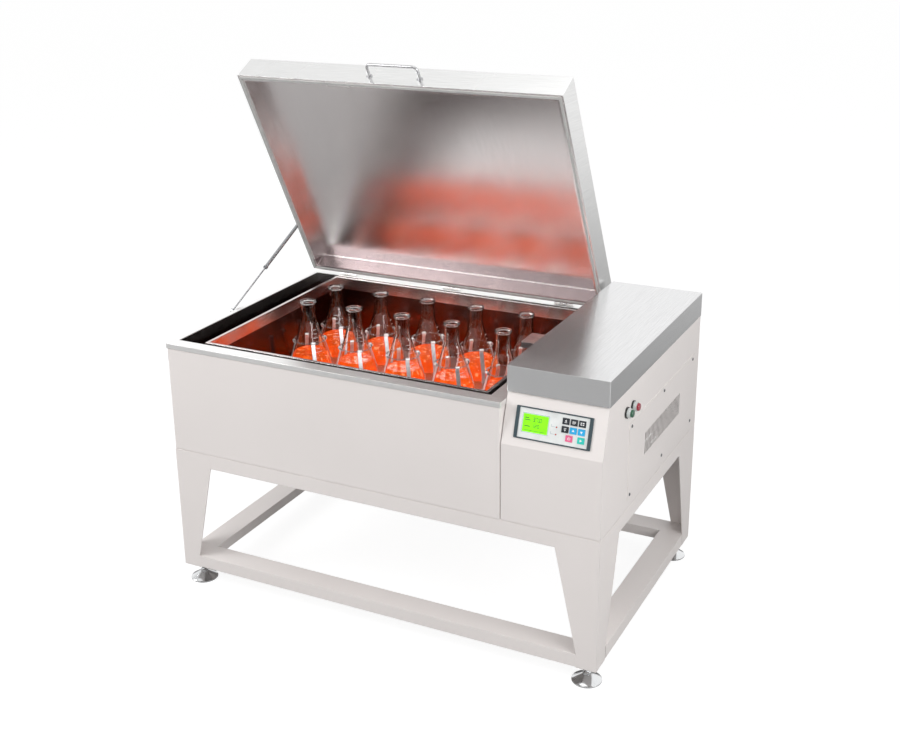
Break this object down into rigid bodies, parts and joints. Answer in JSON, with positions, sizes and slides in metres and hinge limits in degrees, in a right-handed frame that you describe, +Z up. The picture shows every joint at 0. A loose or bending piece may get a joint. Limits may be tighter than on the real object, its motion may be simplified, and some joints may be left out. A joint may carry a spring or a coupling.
{
  "type": "incubated orbital shaker",
  "caption": "Floor-standing chest-type incubated shaker: heated chamber with hinged lid and gas strut, orbiting flask platform, control housing with sloped keypad, stand on levelling feet.",
  "frame": {"origin": "centre of the front left levelling foot's pad, on the floor", "axes": "+X to the right along the front, +Y from the front to the back, +Z up"},
  "size_m": [1.3384, 0.8521, 1.5012],
  "materials": {
    "cream_powder": "satin powder coat",
    "zinc": "zinc plated",
    "chromed": "polished",
    "stainless": "fine brushed",
    "clear_white": "milky",
    "green_cap": "gloss",
    "red_cap": "gloss",
    "blue_grey": "satin",
    "white_film": "satin",
    "lit_display": "lit",
    "red_lamp": "gloss",
    "black_key": "satin",
    "blue_key": "satin",
    "pink_key": "satin",
    "teal_key": "satin",
    "board_green": "solder mask",
    "black_plastic": "fine grain",
    "black_rubber": "matte",
    "grey_silicone": "matte",
    "satin_silver": "satin",
    "machine_grey": "enamel",
    "machined_steel": "turned",
    "cast_crank": "cast, turned faces",
    "aluminium_sheet": "satin",
    "spring_steel": "bright",
    "clear_glass": "clear",
    "orange_liquid": "clear orange liquid",
    "heater_sheath": "heat tinted"
  },
  "bodies": {
    "cabinet": {"stand_legs": "cream_powder", "top_rails": "cream_powder", "lower_rails": "cream_powder", "foot_locknuts": "zinc", "base_pan": "cream_powder", "chamber_casing": "cream_powder", "control_housing": "cream_powder", "housing_cover": "stainless", "rim_frame": "stainless", "chamber_liner": "stainless", "air_frame": "stainless", "sensor_bracket": "stainless", "access_panel": "cream_powder", "panel_screws": "zinc", "button_housings": "clear_white", "panel_bezel": "blue_grey", "keypad_membrane": "white_film", "display": "lit_display", "indicator_lights": "red_lamp", "control_board": "board_green", "power_inlet": "black_plastic", "hinge_fixed_leaves": "stainless", "strut_bracket": "zinc", "drive_base": "machine_grey", "drive_motor": "machine_grey", "drive_belt": "black_rubber", "fan_motor": "machine_grey", "heater_coil": "heater_sheath"},
    "lid": {"lid_shell": "stainless", "lid_liner": "stainless", "lid_gasket": "grey_silicone", "lid_handle": "chromed", "hinge_moving_leaves": "stainless", "lid_stud": "zinc"},
    "strut_lower": {"strut_rod": "chromed"},
    "strut_upper": {"strut_tube": "satin_silver"},
    "drive_crank": {"main_crank": "cast_crank"},
    "follower_left": {"idler_crank_left": "machined_steel"},
    "follower_right": {"idler_crank_right": "machined_steel"},
    "shaking_platform": {"platform": "aluminium_sheet", "flask_clamps": "spring_steel", "clamp_springs": "spring_steel", "flasks": "clear_glass", "flask_contents": "orange_liquid"},
    "motor_shaft": {"motor_pulley": "machined_steel"},
    "fan": {"fan_wheel": "black_plastic"},
    "start_cap": {"start_button": "green_cap"},
    "stop_cap": {"stop_button": "red_cap"},
    "key_1_cap": {"key_1": "black_key"},
    "key_2_cap": {"key_2": "black_key"},
    "key_3_cap": {"key_3": "black_key"},
    "key_4_cap": {"key_4": "black_key"},
    "key_5_cap": {"key_5": "blue_key"},
    "key_6_cap": {"key_6": "blue_key"},
    "key_7_cap": {"key_7": "pink_key"},
    "key_8_cap": {"key_8": "teal_key"},
    "levelling_front_left": {"foot_front_left": "chromed"},
    "levelling_front_right": {"foot_front_right": "chromed"},
    "levelling_rear_left": {"foot_rear_left": "chromed"},
    "levelling_rear_right": {"foot_rear_right": "chromed"}
  },
  "joints": [
    {"name": "lid_hinge", "type": "hinge", "parent": "cabinet", "child": "lid", "pos_m": [0.47, 0.746, 0.7595], "axis": [-1, 0, 0], "range_deg": [-62, 6]},
    {"name": "strut_pivot", "type": "hinge", "parent": "cabinet", "child": "strut_lower", "pos_m": [-0.05, 0.295, 0.748], "axis": [1, 0, 0], "range_deg": [-16.25, 1.58]},
    {"name": "strut_slide", "type": "slide", "parent": "strut_lower", "child": "strut_upper", "axis": [0, 0.9051, 0.4251], "range_m": [-0.16084, 0.01557]},
    {"name": "drive_spin", "type": "hinge", "parent": "cabinet", "child": "drive_crank", "pos_m": [0.4925, 0.377, 0.507], "axis": [0, 0, 1], "continuous": true},
    {"name": "platform_pivot", "type": "hinge", "parent": "drive_crank", "child": "shaking_platform", "pos_m": [0.4795, 0.377, 0.525], "axis": [0, 0, 1], "continuous": true},
    {"name": "follower_left_spin", "type": "hinge", "parent": "cabinet", "child": "follower_left", "pos_m": [0.2225, 0.207, 0.507], "axis": [0, 0, 1], "continuous": true},
    {"name": "follower_right_spin", "type": "hinge", "parent": "cabinet", "child": "follower_right", "pos_m": [0.7625, 0.547, 0.507], "axis": [0, 0, 1], "continuous": true},
    {"name": "motor_spin", "type": "hinge", "parent": "cabinet", "child": "motor_shaft", "pos_m": [1.12775, 0.377, 0.45], "axis": [0, 0, 1], "continuous": true},
    {"name": "fan_spin", "type": "hinge", "parent": "cabinet", "child": "fan", "pos_m": [0.015, 0.559, 0.622], "axis": [0, 1, 0], "continuous": true},
    {"name": "start_press", "type": "slide", "parent": "cabinet", "child": "start_cap", "axis": [-1, 0, 0], "range_m": [0, 0.004], "stiffness_N_per_m": 250, "springref_m": -0.003},
    {"name": "stop_press", "type": "slide", "parent": "cabinet", "child": "stop_cap", "axis": [-1, 0, 0], "range_m": [0, 0.004], "stiffness_N_per_m": 250, "springref_m": -0.003},
    {"name": "key_1_press", "type": "slide", "parent": "cabinet", "child": "key_1_cap", "axis": [0, 0.9505, -0.3107], "range_m": [0, 0.0006], "stiffness_N_per_m": 1200, "springref_m": -0.0006},
    {"name": "key_2_press", "type": "slide", "parent": "cabinet", "child": "key_2_cap", "axis": [0, 0.9505, -0.3107], "range_m": [0, 0.0006], "stiffness_N_per_m": 1200, "springref_m": -0.0006},
    {"name": "key_3_press", "type": "slide", "parent": "cabinet", "child": "key_3_cap", "axis": [0, 0.9505, -0.3107], "range_m": [0, 0.0006], "stiffness_N_per_m": 1200, "springref_m": -0.0006},
    {"name": "key_4_press", "type": "slide", "parent": "cabinet", "child": "key_4_cap", "axis": [0, 0.9505, -0.3107], "range_m": [0, 0.0006], "stiffness_N_per_m": 1200, "springref_m": -0.0006},
    {"name": "key_5_press", "type": "slide", "parent": "cabinet", "child": "key_5_cap", "axis": [0, 0.9505, -0.3107], "range_m": [0, 0.0006], "stiffness_N_per_m": 1200, "springref_m": -0.0006},
    {"name": "key_6_press", "type": "slide", "parent": "cabinet", "child": "key_6_cap", "axis": [0, 0.9505, -0.3107], "range_m": [0, 0.0006], "stiffness_N_per_m": 1200, "springref_m": -0.0006},
    {"name": "key_7_press", "type": "slide", "parent": "cabinet", "child": "key_7_cap", "axis": [0, 0.9505, -0.3107], "range_m": [0, 0.0006], "stiffness_N_per_m": 1200, "springref_m": -0.0006},
    {"name": "key_8_press", "type": "slide", "parent": "cabinet", "child": "key_8_cap", "axis": [0, 0.9505, -0.3107], "range_m": [0, 0.0006], "stiffness_N_per_m": 1200, "springref_m": -0.0006},
    {"name": "level_front_left", "type": "slide", "parent": "cabinet", "child": "levelling_front_left", "axis": [0, 0, -1], "range_m": [0, 0.012]},
    {"name": "level_front_right", "type": "slide", "parent": "cabinet", "child": "levelling_front_right", "axis": [0, 0, -1], "range_m": [0, 0.012]},
    {"name": "level_rear_left", "type": "slide", "parent": "cabinet", "child": "levelling_rear_left", "axis": [0, 0, -1], "range_m": [0, 0.012]},
    {"name": "level_rear_right", "type": "slide", "parent": "cabinet", "child": "levelling_rear_right", "axis": [0, 0, -1], "range_m": [0, 0.012]}
  ],
  "couplings": [
    {"joint": "strut_pivot", "follows": "lid_hinge", "ratio": 0.26201},
    {"joint": "strut_slide", "follows": "lid_hinge", "m_per_rad": 0.14863},
    {"joint": "platform_pivot", "follows": "drive_spin", "ratio": -1},
    {"joint": "follower_left_spin", "follows": "drive_spin", "ratio": 1},
    {"joint": "follower_right_spin", "follows": "drive_spin", "ratio": 1},
    {"joint": "motor_spin", "follows": "drive_spin", "ratio": 3}
  ]
}
